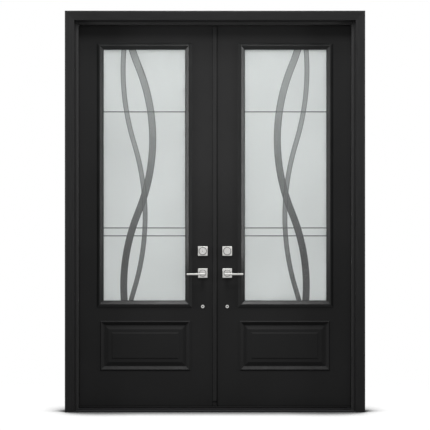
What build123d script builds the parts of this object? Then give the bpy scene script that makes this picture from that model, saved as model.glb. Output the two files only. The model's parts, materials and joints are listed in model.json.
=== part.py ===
from build123d import *
import os

# A pair of glazed steel entry doors in a timber frame with casing and sill.
# Millimetres. +X to the right seen from outside, +Y into the house, +Z up.
# The origin is on the floor, midway between the jambs, in the plane of the wall's outer face.

# Clearances, and the sides of a small round
overrun = 1.0
running_gap = 0.3
shaft_gap = 0.05
small_sides = 12

# Leaves
leaf_width = 857.0
leaf_height = 2419.0
leaf_thickness = 44.5
skin_thickness = 0.8
meeting_gap = 28.0
leaf_side_gap = 3.0
leaf_head_gap = 3.0
stile_width = 36.0
top_rail_height = 36.0
bottom_rail_height = 60.0
lock_block_width = 110.0
lock_block_margin = 45.0

# Jambs, casing and sill
jamb_depth = 116.0
jamb_board = 19.0
stop_height = 12.7
stop_depth = 65.0
stop_arris = 2.5
casing_width = 69.0
casing_thickness = 32.0
casing_step = 9.0
casing_step_height = 8.0
casing_round = 12.0
sill_nose_reach = 28.0
sill_nose_height = 10.0
sill_nose_round = 3.0
sill_tread_depth = 94.0
sill_height = 16.0
sill_tread_drop = 2.0
cap_width = 46.0
cap_height = 9.0
cap_bevel = 4.0
cap_back_margin = 4.0
sweep_height = 4.0
sweep_web = 1.2
sweep_fin = 2.0
sweep_fin_count = 4
sweep_width = 34.0
strip_bevel = 2.0
strip_width = 11.0

# Raised panel pressed into each skin
panel_side_margin = 143.5
panel_floor = 223.5
panel_lite_gap = 87.0
bead_run = 4.0
bead_height = 4.5
bead_flat = 3.0
groove_run = 19.0
groove_depth = 8.5
groove_flat = 3.0
shoulder_run = 24.0
shoulder_flat = 19.0
field_run = 8.0
field_height = 3.0

# Lite frames and the sealed glass unit
lite_lock_margin = 132.5
lite_hinge_margin = 122.5
lite_top_margin = 121.0
lite_bottom_margin = 623.5
lite_face = 42.5
lite_edge = 2.5
lite_outer_run = 15.0
lite_shoulder_height = 11.0
lite_ridge_flat = 5.0
lite_ridge_height = 12.0
lite_lip = 4.5
lite_lip_depth = 5.0
lite_lip_fall = 2.0
lite_overlap = 16.5
lite_leg_gap = 1.5
unit_gap = 3.0
unit_inset = 9.5
pane_thickness = 4.0
spacer_width = 10.0

# Cames of the decorative pane: two interlaced waves and level bars
came_proud = 1.5
wave_half_length = 930.0
broad_width = 44.0
broad_sagitta = 92.0
broad_axis_offset = 40.0
broad_start = -330.0
slim_width = 30.0
slim_sagitta = 70.0
slim_axis_offset = 66.0
slim_start = -820.0
wave_count = 3
bar_width = 6.0
bar_height_shares = (0.27, 0.3, 0.74)

# Hinges
hinge_count = 4
hinge_height = 102.0
hinge_plate = 3.0
hinge_plate_width = 38.0
hinge_top_margin = 178.0
hinge_bottom_margin = 279.0
knuckle_radius = 6.35
knuckle_count = 5
knuckle_gap = 0.2
knuckle_relief = 0.45
pivot_reach = 7.5
pin_radius = 3.9
pin_head_radius = 6.0
pin_head_height = 3.0

# Lever sets, deadbolt and through-bolt caps
backset = 63.5
lever_rise = 839.8
deadbolt_rise = 139.7
cap_drop = 211.4
cross_bore_radius = 27.0
edge_bore_radius = 12.7
rose_size = 60.0
rose_thickness = 10.0
rose_bevel = 2.0
lever_collar_radius = 19.0
lever_collar_height = 5.0
neck_radius = 10.5
lever_length = 100.5
lever_tail = 15.0
lever_bar_height = 11.5
lever_bar_depth = 11.0
lever_bar_drop = 5.0
lever_reach = 59.0
lever_edge = 2.5
spindle_size = 8.0
cylinder_radius = 22.5
cylinder_height = 9.0
cylinder_taper = 2.5
cylinder_rim = 3.0
cylinder_recess = 1.5
housing_radius = 16.0
housing_depth = 14.0
plug_radius = 6.3
keyway_width = 2.4
keyway_height = 8.5
keyway_depth = 9.0
turn_collar_radius = 15.0
turn_collar_height = 4.0
turn_shaft_radius = 6.0
turn_blade_length = 42.0
turn_blade_width = 10.0
turn_blade_reach = 20.0
turn_blade_edge = 3.0
tail_size = 4.0
latch_width = 12.0
latch_height = 19.0
latch_length = 42.0
latch_bevel = 9.0
deadbolt_width = 15.0
deadbolt_height = 20.0
deadbolt_length = 48.0
deadbolt_edge = 1.5
faceplate_width = 25.4
faceplate_height = 57.0
faceplate_thickness = 2.5
bolt_cap_radius = 10.5
bolt_cap_height = 4.0
bolt_cap_recess_radius = 3.6
bolt_cap_recess = 3.0
bolt_shank_radius = 4.0

# Astragal and its shoot bolts
astragal_width = 24.0
astragal_wall = 2.0
astragal_proud = 5.0
astragal_edge = 1.5
astragal_face_foot = 29.0
astragal_face_head = 20.0
astragal_plug = 30.0
rod_channel = 10.0
rod_radius = 4.0
rod_throw = 16.0
rod_end_gap = 1.0
strike_gap = 1.5
seal_thickness = 2.0
seal_width = 8.0
seal_back_margin = 4.0
boot_depth = 26.0
keeper_width = 16.0
keeper_length = 30.0
keeper_plate = 2.0
keeper_hole_gap = 1.0

# Places worked out from the sizes above
lock_x = meeting_gap / 2
hinge_x = lock_x + leaf_width
rabbet_x = hinge_x + leaf_side_gap
stop_x = rabbet_x - stop_height
jamb_x = rabbet_x + jamb_board
casing_x = rabbet_x + casing_width
pivot_x = hinge_x + leaf_side_gap / 2
inner_y = jamb_depth
outer_y = inner_y - leaf_thickness
middle_y = (inner_y + outer_y) / 2
pivot_y = jamb_depth + pivot_reach
cap_z = sill_height + cap_height
leaf_z = cap_z + sweep_height
top_z = leaf_z + leaf_height
head_z = top_z + leaf_head_gap
head_stop_z = head_z - stop_height
frame_z = head_z + jamb_board
casing_z = head_z + casing_width
spindle_x = lock_x + backset
lever_z = leaf_z + lever_rise
deadbolt_z = lever_z + deadbolt_rise
bolt_cap_z = lever_z - cap_drop
lite_x_span = (lock_x + lite_lock_margin, hinge_x - lite_hinge_margin)
lite_z_span = (leaf_z + lite_bottom_margin, top_z - lite_top_margin)
lite_width = lite_x_span[1] - lite_x_span[0]
lite_middle_x = (lite_x_span[0] + lite_x_span[1]) / 2
lite_height = lite_z_span[1] - lite_z_span[0]
panel_x_span = (lock_x + panel_side_margin, hinge_x - panel_side_margin)
panel_z_span = (leaf_z + panel_floor, lite_z_span[0] - panel_lite_gap)
leaf_x_span = (lock_x, hinge_x)
leaf_z_span = (leaf_z, top_z)
core_y_span = (outer_y + skin_thickness, inner_y - skin_thickness)
astragal_x_span = (-lock_x, -lock_x + astragal_width)
rod_x = -lock_x + astragal_width / 2
rod_y = outer_y + astragal_wall + rod_channel / 2
hinge_low_z = leaf_z + hinge_bottom_margin
hinge_high_z = top_z - hinge_top_margin
hinge_pitch = (hinge_high_z - hinge_low_z) / (hinge_count - 1)
hinge_centres = [hinge_low_z + hinge_pitch * number for number in range(hinge_count)]


# Shapes used by several pieces
def block(x_span, y_span, z_span):
    """A rectangular block between three pairs of limits."""
    spans = (x_span, y_span, z_span)
    sizes = [abs(end - start) for start, end in spans]
    centres = [(end + start) / 2 for start, end in spans]
    return Pos(*centres) * Box(*sizes)


def around(centre, size):
    """The pair of limits that lie evenly about a centre."""
    return (centre - size / 2, centre + size / 2)


def inset_span(span, inset):
    """A pair of limits drawn in at both ends."""
    return (span[0] + inset, span[1] - inset)


def rod(radius, start, length, direction, end_radius=None):
    """A round bar, or a taper, that runs from a start point along a direction."""
    plane = Plane(origin=start, z_dir=direction)
    if end_radius is None:
        return plane * Cylinder(radius, length, align=(Align.CENTER, Align.CENTER, Align.MIN))
    return plane * Cone(radius, end_radius, length, align=(Align.CENTER, Align.CENTER, Align.MIN))


def small_bar(radius, start, length, direction):
    """A bar with a few flat sides, for small rounds that repeat often."""
    section = RegularPolygon(radius, small_sides)
    return extrude(Plane(origin=start, z_dir=direction) * section, amount=length, dir=direction)


def small_bore(radius, start, length, direction):
    """The bore that clears a small bar of the given radius at any angle."""
    section = RegularPolygon(radius, small_sides, major_radius=False)
    return extrude(Plane(origin=start, z_dir=direction) * section, amount=length, dir=direction)


def prism(points, plane, length):
    """A straight bar of the given section, drawn along the normal of its plane."""
    return extrude(plane * Polygon(*points, align=None), amount=length, dir=plane.z_dir)


def moulded_ring(points, x_span, z_span, face_y, outward):
    """A section of (inset, height) points swept round a rectangle, with mitred corners."""
    (left, right), (low, high) = x_span, z_span
    start = ((left + right) / 2, face_y, low)
    corners = [(right, low), (right, high), (left, high), (left, low)]
    path = Wire.make_polygon([start] + [(x, face_y, z) for x, z in corners], close=True)
    plane = Plane(origin=start, x_dir=(0, 0, 1), z_dir=(-outward, 0, 0))
    section = plane * Polygon(*points, align=None)
    return sweep(section, path=path, transition=Transition.RIGHT)


def ring_block(x_span, y_span, z_span, width):
    """A flat rectangular ring of even width."""
    hole = block(inset_span(x_span, width), inset_span(y_span, -overrun), inset_span(z_span, width))
    return block(x_span, y_span, z_span) - hole


def mirrored(shape):
    """The same piece on the other leaf or jamb."""
    return mirror(shape, about=Plane.YZ)


def group(shapes):
    """Separate like solids that share one name."""
    return Compound(children=[solid for shape in shapes for solid in shape.solids()])


# Frame pieces
def hinge_mortise(x_span, height):
    """The pocket that takes one hinge plate."""
    y_span = (pivot_y - hinge_plate_width, inner_y + overrun)
    return block(x_span, y_span, around(height, hinge_height))


def right_jamb():
    """A side jamb: board and stop in one, with a mortise for each hinge."""
    jamb = block((rabbet_x, jamb_x), (0, jamb_depth), (0, frame_z))
    points = [
        (stop_x + stop_arris, 0), (rabbet_x, 0), (rabbet_x, stop_depth),
        (stop_x, stop_depth), (stop_x, stop_arris),
    ]
    jamb += prism(points, Plane.XY, head_z)
    for height in hinge_centres:
        jamb -= hinge_mortise((rabbet_x, rabbet_x + hinge_plate), height)
    return jamb


def head_jamb():
    """The head jamb between the side jambs, bored for the top shoot bolt."""
    head = block((-rabbet_x, rabbet_x), (0, jamb_depth), (head_z, frame_z))
    points = [
        (0, head_stop_z + stop_arris), (0, head_z), (stop_depth, head_z),
        (stop_depth, head_stop_z), (stop_arris, head_stop_z),
    ]
    plane = Plane(origin=(-stop_x, 0, 0), x_dir=(0, 1, 0), z_dir=(1, 0, 0))
    head += prism(points, plane, stop_x * 2)
    head -= keeper_plate_block(head_z, head_z + keeper_plate)
    start = (rod_x, rod_y, head_z)
    return head - small_bore(rod_radius + keeper_hole_gap, start, jamb_board + overrun, (0, 0, 1))


def casing_section(plane):
    """The section of the casing: square back, step at the inner edge and a rounded outer edge."""
    round_share = 0.5 ** 0.5
    round_reach = casing_round * round_share
    round_centre = (casing_width - casing_round, casing_thickness - casing_round)
    round_middle = (round_centre[0] + round_reach, round_centre[1] + round_reach)
    step_foot = (casing_step, casing_step_height)
    step_edge = (casing_step, casing_thickness)
    round_start = (round_centre[0], casing_thickness)
    round_end = (casing_width, round_centre[1])
    edges = [
        Line((0, 0), (0, casing_step_height)),
        Line((0, casing_step_height), step_foot),
        Line(step_foot, step_edge),
        Line(step_edge, round_start),
        ThreePointArc(round_start, round_middle, round_end),
        Line(round_end, (casing_width, 0)),
        Line((casing_width, 0), (0, 0)),
    ]
    return plane * make_face(edges)


def mitre(side):
    """The mitre plane of the casing at one top corner, facing away from the head."""
    return Plane(origin=(side * rabbet_x, 0, head_z), z_dir=(side, 0, -1))


def right_casing():
    """A casing leg, mitred at the top."""
    plane = Plane(origin=(rabbet_x, 0, 0), x_dir=(1, 0, 0), z_dir=(0, 0, 1))
    section = mirror(casing_section(plane), about=Plane.XZ)
    leg = extrude(section, amount=casing_z, dir=(0, 0, 1))
    return split(leg, bisect_by=mitre(1), keep=Keep.TOP)


def head_casing():
    """The casing over the head, mitred at both ends."""
    plane = Plane(origin=(-casing_x, 0, head_z), x_dir=(0, 0, 1), z_dir=(1, 0, 0))
    head = extrude(casing_section(plane), amount=casing_x * 2, dir=(1, 0, 0))
    for side in (-1, 1):
        head = split(head, bisect_by=mitre(side), keep=Keep.BOTTOM)
    return head


def sill():
    """The sill between the jambs: sloped tread, flat seat for the cap, bored for the bottom shoot bolt."""
    tread_back = sill_tread_depth - sill_nose_reach
    points = [
        (-sill_nose_reach, 0), (-sill_nose_reach, sill_nose_height - sill_nose_round),
        (sill_nose_round - sill_nose_reach, sill_nose_height), (tread_back, sill_height - sill_tread_drop),
        (tread_back, sill_height), (jamb_depth, sill_height), (jamb_depth, 0),
    ]
    plane = Plane(origin=(-rabbet_x, 0, 0), x_dir=(0, 1, 0), z_dir=(1, 0, 0))
    body = prism(points, plane, rabbet_x * 2)
    for side in (-1, 1):
        x_span = (side * stop_x, side * (rabbet_x + overrun))
        body -= block(x_span, (0, stop_depth), (-overrun, sill_height + overrun))
    return body - bottom_bolt_hole()


def bottom_bolt_hole():
    """The hole that takes the bottom shoot bolt when it is thrown."""
    start = (rod_x, rod_y, cap_z + overrun)
    depth = rod_throw - sweep_height + keeper_hole_gap + rod_end_gap + overrun
    return small_bore(rod_radius + keeper_hole_gap, start, depth, (0, 0, -1))


def keeper_plate_block(low, high):
    """The outline of a keeper plate about the line of the shoot bolts."""
    return block(around(rod_x, keeper_length), around(rod_y, keeper_width), (low, high))


def threshold_cap():
    """The bevelled cap on the sill that the sweeps close on."""
    back = jamb_depth - cap_back_margin
    front = back - cap_width
    points = [
        (front, sill_height), (front, cap_z - cap_bevel), (front + cap_bevel, cap_z),
        (back - cap_bevel, cap_z), (back, cap_z - cap_bevel), (back, sill_height),
    ]
    plane = Plane(origin=(-rabbet_x, 0, 0), x_dir=(0, 1, 0), z_dir=(1, 0, 0))
    cap = prism(points, plane, rabbet_x * 2)
    return cap - keeper_plate_block(cap_z - keeper_plate, cap_z + overrun) - bottom_bolt_hole()


def bolt_keepers():
    """The plates that line the mouths of the shoot bolt holes."""
    plates = []
    for low in (head_z, cap_z - keeper_plate):
        plate = keeper_plate_block(low, low + keeper_plate)
        start = (rod_x, rod_y, low - overrun)
        depth = keeper_plate + overrun * 2
        plates.append(plate - small_bore(rod_radius + keeper_hole_gap, start, depth, (0, 0, 1)))
    return group(plates)


def weatherstrip():
    """The soft strip in the rabbet, up one jamb, across the head and down the other."""
    face = outer_y - running_gap
    edge = rabbet_x - strip_width
    points = [
        (edge + strip_bevel, stop_depth), (rabbet_x, stop_depth), (rabbet_x, face),
        (edge + strip_bevel, face), (edge, face - strip_bevel), (edge, stop_depth + strip_bevel),
    ]
    leg = prism(points, Plane(origin=(0, 0, cap_z), z_dir=(0, 0, 1)), head_z - cap_z)
    low = head_z - strip_width
    points = [
        (stop_depth, low + strip_bevel), (stop_depth, head_z), (face, head_z),
        (face, low + strip_bevel), (face - strip_bevel, low), (stop_depth + strip_bevel, low),
    ]
    plane = Plane(origin=(-rabbet_x, 0, 0), x_dir=(0, 1, 0), z_dir=(1, 0, 0))
    return leg + mirrored(leg) + prism(points, plane, rabbet_x * 2)


# Leaf pieces
def panel_section():
    """The pressed panel's face as (inset, height) points, from the flat of the leaf to the field."""
    steps = [
        (bead_run, bead_height), (bead_flat, bead_height), (groove_run, -groove_depth),
        (groove_flat, -groove_depth), (shoulder_run, 0), (shoulder_flat, 0), (field_run, field_height),
    ]
    points = [(0, 0)]
    for run, height in steps:
        points.append((points[-1][0] + run, height))
    return points


def cross_bores():
    """The bores through the leaf for the lever, the deadbolt and the through bolt."""
    depth = leaf_thickness + (bead_height + overrun) * 2
    start_y = outer_y - bead_height - overrun
    places = ((cross_bore_radius, lever_z), (cross_bore_radius, deadbolt_z), (bolt_shank_radius, bolt_cap_z))
    return [small_bore(radius, (spindle_x, start_y, z), depth, (0, 1, 0)) for radius, z in places]


def lite_cutout(y_span):
    """The opening in the leaf for the sealed unit."""
    return block(inset_span(lite_x_span, lite_overlap), y_span, inset_span(lite_z_span, lite_overlap))


def hinge_mortises():
    """The pockets for the hinge plates in the edge of the leaf."""
    return [hinge_mortise((hinge_x - hinge_plate, hinge_x + overrun), height) for height in hinge_centres]


def leaf_skin(face_y, outward):
    """One steel skin: flat sheet with the pressed panel and the opening for the lite."""
    back_y = face_y - outward * skin_thickness
    through = inset_span((min(face_y, back_y), max(face_y, back_y)), -overrun)
    face = panel_section()
    back = [(inset, height - skin_thickness) for inset, height in reversed(face)]
    border = face[-1][0]
    field_y = face_y + outward * field_height
    skin = block(leaf_x_span, (face_y, back_y), leaf_z_span)
    skin -= lite_cutout(through)
    skin -= block(panel_x_span, through, panel_z_span)
    skin += moulded_ring(face + back, panel_x_span, panel_z_span, face_y, outward)
    field_back = field_y - outward * skin_thickness
    skin += block(inset_span(panel_x_span, border), (field_y, field_back), inset_span(panel_z_span, border))
    for cut in cross_bores() + hinge_mortises():
        skin -= cut
    return skin


def lock_block_spans():
    """The limits of the solid block behind the locks."""
    z_span = (bolt_cap_z - lock_block_margin, deadbolt_z + lock_block_margin)
    return (lock_x, lock_x + lock_block_width), core_y_span, z_span


def core_spans():
    """The limits of the space inside the stiles and rails."""
    z_span = (leaf_z + bottom_rail_height, top_z - top_rail_height)
    return inset_span(leaf_x_span, stile_width), core_y_span, z_span


def edge_frame(has_latch):
    """Stiles, rails and lock block, with the bores and mortises cut in them."""
    x_span, y_span, z_span = core_spans()
    frame = block(leaf_x_span, core_y_span, leaf_z_span)
    frame -= block(x_span, inset_span(y_span, -overrun), z_span)
    frame += block(*lock_block_spans())
    for cut in cross_bores() + hinge_mortises():
        frame -= cut
    if has_latch:
        for height in (lever_z, deadbolt_z):
            start = (lock_x - overrun, middle_y, height)
            frame -= small_bore(edge_bore_radius, start, backset + overrun, (1, 0, 0))
            frame -= faceplate_block(height)
    return frame


def core():
    """The foam between the skins, clear of the pressed grooves, the lite and the lock block."""
    foam = block(*core_spans())
    foam -= block(*lock_block_spans())
    foam -= lite_cutout(inset_span(core_y_span, -overrun))
    bead_end = bead_run + bead_flat
    fall_share = bead_height / (bead_height + groove_depth)
    groove_start = bead_end + groove_run
    groove = [
        (bead_end + groove_run * fall_share, 0), (groove_start, -groove_depth),
        (groove_start + groove_flat, -groove_depth), (groove_start + groove_flat + shoulder_run, 0),
    ]
    for face_y, outward in ((core_y_span[0], -1), (core_y_span[1], 1)):
        foam -= moulded_ring(groove, panel_x_span, panel_z_span, face_y, outward)
    return foam


def door_sweep():
    """The finned strip under the leaf."""
    y_span = around(jamb_depth - cap_back_margin - cap_width / 2, sweep_width)
    sweep_strip = block(leaf_x_span, y_span, (leaf_z - sweep_web, leaf_z))
    pitch = (sweep_width - sweep_fin) / (sweep_fin_count - 1)
    for number in range(sweep_fin_count):
        start = y_span[0] + pitch * number
        sweep_strip += block(leaf_x_span, (start, start + sweep_fin), (cap_z + running_gap, leaf_z))
    return sweep_strip


# Glazing
def lite_frame(face_y, outward):
    """One half of the lite frame: ridged face, lip over the skin and leg down to the glass."""
    ridge = lite_outer_run + lite_ridge_flat
    leg = lite_overlap + lite_leg_gap
    points = [
        (0, 0), (0, lite_edge), (lite_outer_run, lite_shoulder_height), (ridge, lite_ridge_height),
        (lite_face - lite_lip, lite_lip_fall - lite_lip_depth), (lite_face, -lite_lip_depth),
        (lite_face, -unit_inset), (leg, -unit_inset), (leg, 0),
    ]
    return moulded_ring(points, lite_x_span, lite_z_span, face_y, outward)


def unit_spans():
    """The outline of the sealed unit."""
    inset = lite_overlap + unit_gap
    return inset_span(lite_x_span, inset), inset_span(lite_z_span, inset)


def pane_faces():
    """Where each pane of the sealed unit starts, from outside in."""
    unit_thickness = leaf_thickness - unit_inset * 2
    pitch = (unit_thickness - pane_thickness) / 2
    return [outer_y + unit_inset + pitch * number for number in range(3)]


def pane(number):
    """One pane of the sealed unit."""
    x_span, z_span = unit_spans()
    start = pane_faces()[number]
    return block(x_span, (start, start + pane_thickness), z_span)


def spacers():
    """The two spacer bars that hold the panes apart."""
    x_span, z_span = unit_spans()
    faces = pane_faces()
    rings = []
    for number in range(2):
        y_span = (faces[number] + pane_thickness, faces[number + 1])
        rings.append(ring_block(x_span, y_span, z_span, spacer_width))
    return group(rings)


def wave(axis_x, start_z, sagitta, width):
    """A ribbon of even width along a chain of equal arcs that swing to either side."""
    arcs = []
    for number in range(wave_count):
        swing = sagitta if number % 2 == 0 else -sagitta
        low = start_z + wave_half_length * number
        middle = (axis_x + swing, low + wave_half_length / 2)
        arcs.append(ThreePointArc((axis_x, low), middle, (axis_x, low + wave_half_length)))
    return trace(arcs, line_width=width)


def came():
    """The cames of the decorative pane as one lattice that stands proud on both faces."""
    unit_x, unit_z = unit_spans()
    x_span, z_span = inset_span(unit_x, spacer_width), inset_span(unit_z, spacer_width)
    middle_x = lite_middle_x
    bottom = lite_z_span[0]
    shapes = [
        wave(middle_x + broad_axis_offset, bottom + broad_start, broad_sagitta, broad_width),
        wave(middle_x + slim_axis_offset, bottom + slim_start, slim_sagitta, slim_width),
    ]
    for share in bar_height_shares:
        height = bottom + lite_height * share
        shapes.append(Pos(middle_x, height) * Rectangle(lite_width, bar_width))
    start = pane_faces()[1] - came_proud
    thickness = pane_thickness + came_proud * 2
    plane = Plane(origin=(0, start, 0), x_dir=(1, 0, 0), z_dir=(0, -1, 0))
    field = block(x_span, (start, start + thickness), z_span)
    bars = [extrude(plane * shape, amount=-thickness) & field for shape in shapes]
    lattice = bars[0]
    for bar in bars[1:]:
        lattice += bar
    return lattice


# Hinges
def knuckles(jamb_side, height):
    """The limits in height of the knuckles that belong to the jamb or to the leaf."""
    length = hinge_height / knuckle_count
    low = height - hinge_height / 2
    numbers = range(0 if jamb_side else 1, knuckle_count, 2)
    return [(low + length * number, low + length * (number + 1)) for number in numbers]


def hinge_half(jamb_side, height):
    """One plate of a butt hinge with its knuckles."""
    x_span = (rabbet_x, rabbet_x + hinge_plate) if jamb_side else (hinge_x - hinge_plate, hinge_x)
    half = block(x_span, (pivot_y - hinge_plate_width, pivot_y), around(height, hinge_height))
    for low, high in knuckles(not jamb_side, height):
        start = (pivot_x, pivot_y, low)
        half -= small_bore(knuckle_radius + knuckle_relief, start, high - low, (0, 0, 1))
    for low, high in knuckles(jamb_side, height):
        start = (pivot_x, pivot_y, low + knuckle_gap)
        half += small_bar(knuckle_radius, start, high - low - knuckle_gap * 2, (0, 0, 1))
    start = (pivot_x, pivot_y, height - hinge_height)
    return half - small_bore(pin_radius + shaft_gap, start, hinge_height * 2, (0, 0, 1))


def hinge_halves(jamb_side):
    """The like halves of all the hinges on one jamb or leaf."""
    return group([hinge_half(jamb_side, height) for height in hinge_centres])


def hinge_pins():
    """The hinge pins of one leaf, each with a flat head."""
    pins = []
    for height in hinge_centres:
        low = height - hinge_height / 2
        pin = rod(pin_radius, (pivot_x, pivot_y, low), hinge_height, (0, 0, 1))
        pin += small_bar(pin_head_radius, (pivot_x, pivot_y, low + hinge_height), pin_head_height, (0, 0, 1))
        pins.append(pin)
    return pins


# Lever sets
def rose(height, face_y, outward):
    """A square rose plate with bevelled edges, flat on the leaf."""
    plane = Plane(origin=(spindle_x, face_y, height), x_dir=(1, 0, 0), z_dir=(0, outward, 0))
    plate = extrude(plane * Rectangle(rose_size, rose_size), amount=rose_thickness)
    front = plate.faces().sort_by(Axis.Y)[-1 if outward > 0 else 0]
    return chamfer(front.edges(), rose_bevel)


def lever_rose(face_y, outward):
    """A lever rose with its round collar, bored for the lever's neck."""
    start = (spindle_x, face_y + outward * rose_thickness, lever_z)
    plate = rose(lever_z, face_y, outward)
    plate += rod(lever_collar_radius, start, lever_collar_height, (0, outward, 0))
    depth = rose_thickness + lever_collar_height + overrun * 2
    bore_start = (spindle_x, face_y - outward * overrun, lever_z)
    return plate - rod(neck_radius + running_gap, bore_start, depth, (0, outward, 0))


def lever_bar(face_y, outward):
    """The grip of a lever: a flat bar with rounded long edges, dropped a little below the spindle."""
    middle_x = spindle_x + (lever_length - lever_tail) / 2
    front_y = face_y + outward * lever_reach
    y_span = sorted((front_y, front_y - outward * lever_bar_depth))
    x_span = around(middle_x, lever_length + lever_tail)
    bar = block(x_span, y_span, around(lever_z - lever_bar_drop, lever_bar_height))
    return fillet(bar.edges().filter_by(Axis.X), lever_edge)


def lever(face_y, outward, has_spindle):
    """A lever with its neck, and on the inner one the square spindle through the leaf."""
    bar = lever_bar(face_y, outward)
    start = (spindle_x, face_y, lever_z)
    neck_length = lever_reach - lever_bar_depth / 2
    bar += rod(neck_radius, start, neck_length, (0, outward, 0))
    spindle_y = (outer_y - rose_thickness, inner_y)
    spindle = block(around(spindle_x, spindle_size), spindle_y, around(lever_z, spindle_size))
    return bar + spindle if has_spindle else bar - spindle


def outer_deadbolt_rose(has_plug):
    """The outer deadbolt rose with its cylinder, bored for the plug where it has one."""
    plate = rose(deadbolt_z, outer_y, -1)
    start_y = outer_y - rose_thickness
    face_radius = cylinder_radius - cylinder_taper
    plate += rod(cylinder_radius, (spindle_x, start_y, deadbolt_z), cylinder_height, (0, -1, 0), face_radius)
    face_y = start_y - cylinder_height
    recess_radius = face_radius - cylinder_rim
    plate -= rod(recess_radius, (spindle_x, face_y, deadbolt_z), cylinder_recess, (0, 1, 0))
    if not has_plug:
        return plate
    plate += rod(housing_radius, (spindle_x, outer_y, deadbolt_z), housing_depth, (0, 1, 0))
    bore_length = cylinder_height + rose_thickness + housing_depth + overrun * 2
    bore_start = (spindle_x, face_y - overrun, deadbolt_z)
    return plate - rod(plug_radius + shaft_gap, bore_start, bore_length, (0, 1, 0))


def key_plug():
    """The turning plug of the key cylinder, with its keyway."""
    face_y = outer_y - rose_thickness - cylinder_height + cylinder_recess
    length = outer_y + housing_depth - face_y
    plug = rod(plug_radius, (spindle_x, face_y, deadbolt_z), length, (0, 1, 0))
    y_span = (face_y - overrun, face_y + keyway_depth)
    return plug - block(around(spindle_x, keyway_width), y_span, around(deadbolt_z, keyway_height))


def turn_blade():
    """The finger piece of the thumbturn, upright when the bolt is drawn back."""
    start = inner_y + rose_thickness + turn_collar_height + running_gap
    y_span = (start, start + turn_blade_reach)
    blade = block(around(spindle_x, turn_blade_width), y_span, around(deadbolt_z, turn_blade_length))
    return fillet(blade.edges().filter_by(Axis.Y), turn_blade_edge)


def inner_deadbolt_rose(has_turn):
    """The inner deadbolt rose: bored for the thumbturn, or blank with a fixed finger piece."""
    plate = rose(deadbolt_z, inner_y, 1)
    start = (spindle_x, inner_y + rose_thickness, deadbolt_z)
    if not has_turn:
        collar = rod(turn_collar_radius, start, turn_collar_height + running_gap, (0, 1, 0))
        return plate + collar + turn_blade()
    plate += rod(turn_collar_radius, start, turn_collar_height, (0, 1, 0))
    bore_start = (spindle_x, inner_y - overrun, deadbolt_z)
    depth = rose_thickness + turn_collar_height + overrun * 2
    return plate - rod(turn_shaft_radius + running_gap, bore_start, depth, (0, 1, 0))


def thumbturn():
    """The thumbturn: finger piece, shaft and the flat tail that reaches the plug."""
    start = (spindle_x, inner_y, deadbolt_z)
    shaft_length = rose_thickness + turn_collar_height + running_gap
    turn = turn_blade() + rod(turn_shaft_radius, start, shaft_length, (0, 1, 0))
    y_span = (outer_y + housing_depth, inner_y)
    return turn + block(around(spindle_x, tail_size), y_span, around(deadbolt_z, tail_size))


def bolt_caps():
    """The finishing caps of the through bolt below the lever, one on each face."""
    caps = []
    shank = small_bar(bolt_shank_radius, (spindle_x, outer_y, bolt_cap_z), leaf_thickness, (0, 1, 0))
    for face_y, outward in ((outer_y, -1), (inner_y, 1)):
        cap = rod(bolt_cap_radius, (spindle_x, face_y, bolt_cap_z), bolt_cap_height, (0, outward, 0))
        start = (spindle_x, face_y + outward * bolt_cap_height, bolt_cap_z)
        cap -= rod(bolt_cap_recess_radius, start, bolt_cap_recess, (0, -outward, 0))
        caps.append(cap + shank if outward < 0 else cap)
    return group(caps)


def faceplate_block(height):
    """The outline of a faceplate in the lock edge."""
    x_span = (lock_x, lock_x + faceplate_thickness)
    return block(x_span, around(middle_y, faceplate_width), around(height, faceplate_height))


def bolt_bar(width, height_size, length, height):
    """A square bolt that lies in the lock edge, flush with it."""
    x_span = (lock_x, lock_x + length)
    return block(x_span, around(middle_y, width), around(height, height_size))


def lock_faceplates():
    """The plates round the latch and the deadbolt in the lock edge."""
    plates = []
    for height, width, height_size in (
        (lever_z, latch_width, latch_height),
        (deadbolt_z, deadbolt_width, deadbolt_height),
    ):
        x_span = (lock_x - overrun, lock_x + faceplate_thickness + overrun)
        y_span = around(middle_y, width + running_gap * 2)
        hole = block(x_span, y_span, around(height, height_size + running_gap * 2))
        plates.append(faceplate_block(height) - hole)
    return group(plates)


def latch_bolt():
    """The latch, bevelled on the side that meets the strike first."""
    bolt = bolt_bar(latch_width, latch_height, latch_length, lever_z)
    nose = bolt.edges().filter_by(Axis.Z).sort_by(Axis.X)[:2].sort_by(Axis.Y)[0]
    return chamfer(nose, latch_bevel)


def deadbolt():
    """The deadbolt, with its tip edges eased."""
    bolt = bolt_bar(deadbolt_width, deadbolt_height, deadbolt_length, deadbolt_z)
    tip = bolt.faces().sort_by(Axis.X)[0]
    return chamfer(tip.edges(), deadbolt_edge)


# Astragal and shoot bolts
def rod_guide(low, high):
    """A filling in the rod channel, bored for the shoot bolt."""
    y_span = (outer_y + astragal_wall, outer_y + astragal_wall + rod_channel)
    filling = block(inset_span(astragal_x_span, astragal_wall), y_span, (low, high))
    start = (rod_x, rod_y, low - overrun)
    return filling - small_bore(rod_radius + shaft_gap, start, high - low + overrun * 2, (0, 0, 1))


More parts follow.
